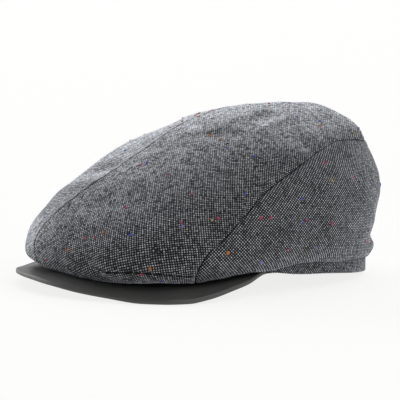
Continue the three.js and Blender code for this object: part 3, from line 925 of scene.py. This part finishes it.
def tweedMaterial(name, seed=0.0, seam=True, uneven=0.62, pitch=1.42, ground=0.42, pale=1.0):
    # pitch is the distance from one pip of light yarn to the next, in millimetres, and ground is
    # how far up a pip the dark yarn reaches.
    look = tweedLook
    material, nodes, links, shader = newMaterial(name)
    where = nodes.new("ShaderNodeUVMap")
    where.uv_map = "cloth"
    cloth = where.outputs[0]

    def calc(operation, *values, clamp=False):
        return mathNode(nodes, links, operation, *values, clamp=clamp)

    def mark(attribute):
        node = nodes.new("ShaderNodeAttribute")
        node.attribute_name = attribute
        return node.outputs["Fac"]

    def stretchedNoise(acrossScale, upScale, detail, roughness=0.5):
        # noise on the flat cloth, which may be longer one way than the other
        lay = mappingNode(nodes, links, cloth, (acrossScale, upScale), (seed * 3.1, seed * 1.7))
        return noiseNode(nodes, links, lay, "2D", 1, detail, roughness).outputs[0]

    far, perMm = look["wobble"]
    wobble = noiseNode(nodes, links, cloth, "2D", perMm, 6, 0.6)
    wander = nodes.new("ShaderNodeVectorMath")
    wander.operation = "MULTIPLY_ADD"
    links.new(wobble.outputs["Color"], wander.inputs[0])
    wander.inputs[1].default_value = (far, far, 0)
    links.new(cloth, wander.inputs[2])
    grid = mappingNode(nodes, links, wander.outputs[0], (1 / pitch, 1 / pitch), (seed, seed * 0.37))
    split = nodes.new("ShaderNodeSeparateXYZ")
    links.new(grid, split.inputs[0])
    cell = nodes.new("ShaderNodeVectorMath")
    cell.operation = "FLOOR"
    links.new(grid, cell.inputs[0])
    anyPip = nodes.new("ShaderNodeTexWhiteNoise")
    anyPip.noise_dimensions = "2D"
    links.new(cell.outputs[0], anyPip.inputs["Vector"])
    waveX = calc("ABSOLUTE", calc("SINE", calc("MULTIPLY", split.outputs[0], math.pi)))
    waveY = calc("ABSOLUTE", calc("SINE", calc("MULTIPLY", split.outputs[1], math.pi)))
    pip = calc("MULTIPLY", waveX, waveY)
    # uneven yarns both ways, flecked fibre, and slow clouds over the whole cloth
    grains = {part: stretchedNoise(*look[part][:4]) for part in ("warp", "weft", "fibre", "cloud")}
    tone = calc("ADD", calc("MULTIPLY", anyPip.outputs["Value"], uneven), 0.61 - uneven / 2)
    for part, grain in grains.items():
        tone = calc("ADD", tone, calc("MULTIPLY", calc("SUBTRACT", grain, 0.5), look[part][4]))
    tone = calc("MULTIPLY", calc("POWER", calc("MAXIMUM", tone, 0.02), 1.35), pale)
    # loose fibre lies over the pips, so the dark ground is never quite even
    sharp = rangeNode(nodes, links, pip, ground, 1.0, smooth=True)
    cover = calc("ADD", calc("MULTIPLY", sharp, 0.97), 0.03)
    if seam:
        # painted light: the cloth is painted paler where it faces the light; the rubbed front corner is
        # paler too
        share = calc("MULTIPLY", mark("wornAndLit"), look["wearAndLight"])
        cover = calc("ADD", cover, calc("MULTIPLY", calc("SUBTRACT", 1.0, cover), share))
        tone = calc("MULTIPLY", tone, calc("ADD", 1.0, calc("MULTIPLY", share, 0.6)))
    light = calc("MULTIPLY", cover, tone, clamp=True)
    # the light yarn leans here to warm and there to cool
    lean = rangeNode(nodes, links, stretchedNoise(*look["lean"]), 0.35, 0.65)
    yarn = mixNode(nodes, links, lean, look["lightWarm"], look["lightCool"])
    colour = mixNode(nodes, links, light, look["dark"], yarn)
    # the fuzz has the shade of the yarn it stands on
    fuzz = mixNode(nodes, links, light, look["fuzzDark"], look["fuzzLight"])
    height = calc("ADD", calc("MULTIPLY", pip, 0.8), calc("MULTIPLY", grains["fibre"], 0.7))
    if seam:
        # painted shade: the colour and the fuzz are darkened in the groove where the panels meet and in the
        # sewn line over the visor
        grooveShade = rangeNode(nodes, links, mark("toSeam"), 0.15, 0.75, look["paintedGrooveShade"], 1.0, smooth=True)
        toLine, onLine = mark("toLine"), mark("onLine")
        line = rangeNode(nodes, links, calc("ABSOLUTE", toLine), 0.25, 1.1, 1.0, 0.0, smooth=True)
        lineShade = calc("MULTIPLY", line, onLine)
        # crease carries the painted shade of the seam groove and of the sewn line
        crease = calc("MULTIPLY", grooveShade, calc("SUBTRACT", 1.0, calc("MULTIPLY", lineShade, look["paintedLineShade"])))
        # the turned strip under the line is combed paler
        strip = rangeNode(nodes, links, toLine, -0.6, -1.6)
        paler = calc("MULTIPLY", calc("MULTIPLY", strip, onLine), look["stripPale"])
        crease = calc("MULTIPLY", crease, calc("ADD", 1.0, paler))
        colour = mixNode(nodes, links, 1.0, colour, crease, "MULTIPLY")
        fuzz = mixNode(nodes, links, 1.0, fuzz, crease, "MULTIPLY")
        height = calc("SUBTRACT", height, calc("MULTIPLY", lineShade, 1.2))
    links.new(colour, shader.inputs["Base Color"])
    links.new(fuzz, shader.inputs["Sheen Tint"])
    links.new(bumpNode(nodes, links, height, look["bump"], 0.35), shader.inputs["Normal"])
    setInputs(shader, {"Roughness": look["roughness"], "Specular IOR Level": look["shine"],
                       "Sheen Weight": 1.0, "Sheen Roughness": look["fuzzRoughness"]})
    return material


# The leather: scales in cells to a metre, depths in millimetres
leatherLook = {
    "dark": (0.046, 0.047, 0.045, 1),
    "pale": (0.066, 0.067, 0.064, 1),
    "roughness": (0.42, 0.56),
    "grainScale": 900,
    "grainDeep": 0.15,
    "wrinkleScale": 60,
    "wrinkleDeep": 0.5,
}


def leatherMaterial(name):
    look = leatherLook
    material, nodes, links, shader = newMaterial(name)
    where = nodes.new("ShaderNodeTexCoord")
    grain = nodes.new("ShaderNodeTexVoronoi")
    grain.inputs["Scale"].default_value = look["grainScale"]
    links.new(where.outputs["Object"], grain.inputs["Vector"])
    space = where.outputs["Object"]
    wrinkle = noiseNode(nodes, links, space, "3D", look["wrinkleScale"], 5, 0.6, 0.6).outputs[0]
    links.new(rangeNode(nodes, links, wrinkle, 0.3, 0.75, *look["roughness"]), shader.inputs["Roughness"])
    links.new(mixNode(nodes, links, wrinkle, look["dark"], look["pale"]), shader.inputs["Base Color"])
    shader.inputs["Specular IOR Level"].default_value = 0.5
    small = bumpNode(nodes, links, grain.outputs["Distance"], 0.18, look["grainDeep"])
    large = bumpNode(nodes, links, wrinkle, 0.35, look["wrinkleDeep"], small)
    links.new(large, shader.inputs["Normal"])
    return material


def fleckMaterial(name, colour):
    material, nodes, links, shader = newMaterial(name)
    where = nodes.new("ShaderNodeTexCoord")
    strands = noiseNode(nodes, links, where.outputs["Object"], "3D", flecks["strands"], 3).outputs[0]
    deep = (*(c * 0.35 for c in colour), 1)
    bright = (*(min(c * 1.5, 1) for c in colour), 1)
    links.new(mixNode(nodes, links, strands, deep, bright), shader.inputs["Base Color"])
    links.new(bumpNode(nodes, links, strands, 0.6, 0.2), shader.inputs["Normal"])
    setInputs(shader, {"Roughness": 0.95, "Specular IOR Level": 0.1, "Sheen Weight": 0.5,
                       "Sheen Roughness": 0.6, "Sheen Tint": (*colour, 1)})
    return material


tweedTop = tweedMaterial("tweedTop", 0.3)
tweedSide = tweedMaterial("tweedSide", 11.6, uneven=0.42, pitch=1.48, ground=0.5, pale=1.16)
tweedBand = tweedMaterial("tweedBand", 23.1, seam=False)
blackLeather = leatherMaterial("blackLeather")

# What each piece is made of, and what it stands for in the model
for piece, material, node, slot in (
        (panels["topPanel"], tweedTop, "top_panel", "tweed"),
        (panels["sidePanelLeft"], tweedSide, "side_panel_left", "tweed"),
        (panels["sidePanelRight"], tweedSide, "side_panel_right", "tweed"),
        (bandPiece, tweedBand, "band", "tweed"),
        (visorTop, blackLeather, "visor_top", "leather"),
        (visorUnder, blackLeather, "visor_underside", "leather")):
    piece.data.materials.append(material)
    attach(piece, "root")
    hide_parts(node)
for piece, colour in fleckPieces:
    piece.data.materials.append(fleckMaterial(piece.name + "Wool", colour))
    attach(piece, "root")

# The studio: a pale lit table, soft lights and the camera at the photograph's angle, in metres
studio = {
    "floorHalf": 14,
    "floorColour": (0.17, 0.17, 0.17, 1),
    "floorGlow": 0.825,
    "glowColour": (1, 0.998, 0.992, 1),
    "worldStrength": 0.0,
    # name, where it stands, spread in degrees, strength
    "lights": [
        ("keySky", (1.54, 0.45, 1.19), 80, 1.5),
        ("backSky", (-1.0, 1.35, 1.11), 80, 0.85),
        ("frontSky", (-1.5, -0.45, 0.15), 50, 2),
        ("rimSky", (-1.5, 0.5, 0.35), 60, 0.4),
        ("topSky", (-0.15, 0.3, 1.96), 80, 0.8),
    ],
    "azimuth": 50,
    "elevation": 6,
    "distance": 1.8,
    "aimHeight": 0.06,
    "sensor": 36,               # millimetres, as the lens is
    "lens": 243,
    "shiftX": -0.055,
    "shiftY": -0.033,
}


def makeFloor():
    bm = bmesh.new()
    bmesh.ops.create_grid(bm, x_segments=1, y_segments=1, size=studio["floorHalf"])
    floor = pieceFrom("floor", bm)
    paint, _, _, shader = newMaterial("paleFloor")
    setInputs(shader, {"Base Color": studio["floorColour"], "Roughness": 0.9, "Specular IOR Level": 0.1,
                       "Emission Color": studio["glowColour"], "Emission Strength": studio["floorGlow"]})
    floor.data.materials.append(paint)


def skyLight(name, spot, spread, strength):
    # even soft light from one side of the sky, aimed at the cap
    data = bpy.data.lights.new(name, "SUN")
    data.angle = math.radians(spread)
    data.energy = strength
    lamp = bpy.data.objects.new(name, data)
    lamp.location = spot
    lamp.rotation_euler = Vector(spot).to_track_quat("Z", "Y").to_euler()
    bpy.context.scene.collection.objects.link(lamp)


def makeCamera():
    turn, tip = math.radians(studio["azimuth"]), math.radians(studio["elevation"])
    away = Vector((math.sin(turn) * math.cos(tip), -math.cos(turn) * math.cos(tip), math.sin(tip)))
    data = bpy.data.cameras.new("photoCamera")
    data.sensor_width = studio["sensor"]
    data.lens = studio["lens"]
    data.shift_x = studio["shiftX"]
    data.shift_y = studio["shiftY"]
    camera = bpy.data.objects.new("photoCamera", data)
    camera.location = Vector((headX, headY, studio["aimHeight"])) + away * studio["distance"]
    camera.rotation_euler = away.to_track_quat("Z", "Y").to_euler()
    bpy.context.scene.collection.objects.link(camera)
    bpy.context.scene.camera = camera


makeFloor()
world = bpy.data.worlds.new("studio")
world.use_nodes = True
sky = world.node_tree.nodes["Background"]
setInputs(sky, {"Color": (1, 1, 1, 1), "Strength": studio["worldStrength"]})
bpy.context.scene.world = world
for row in studio["lights"]:
    skyLight(*row)
makeCamera()
bpy.context.scene.view_settings.view_transform = "Standard"
print("studio made")
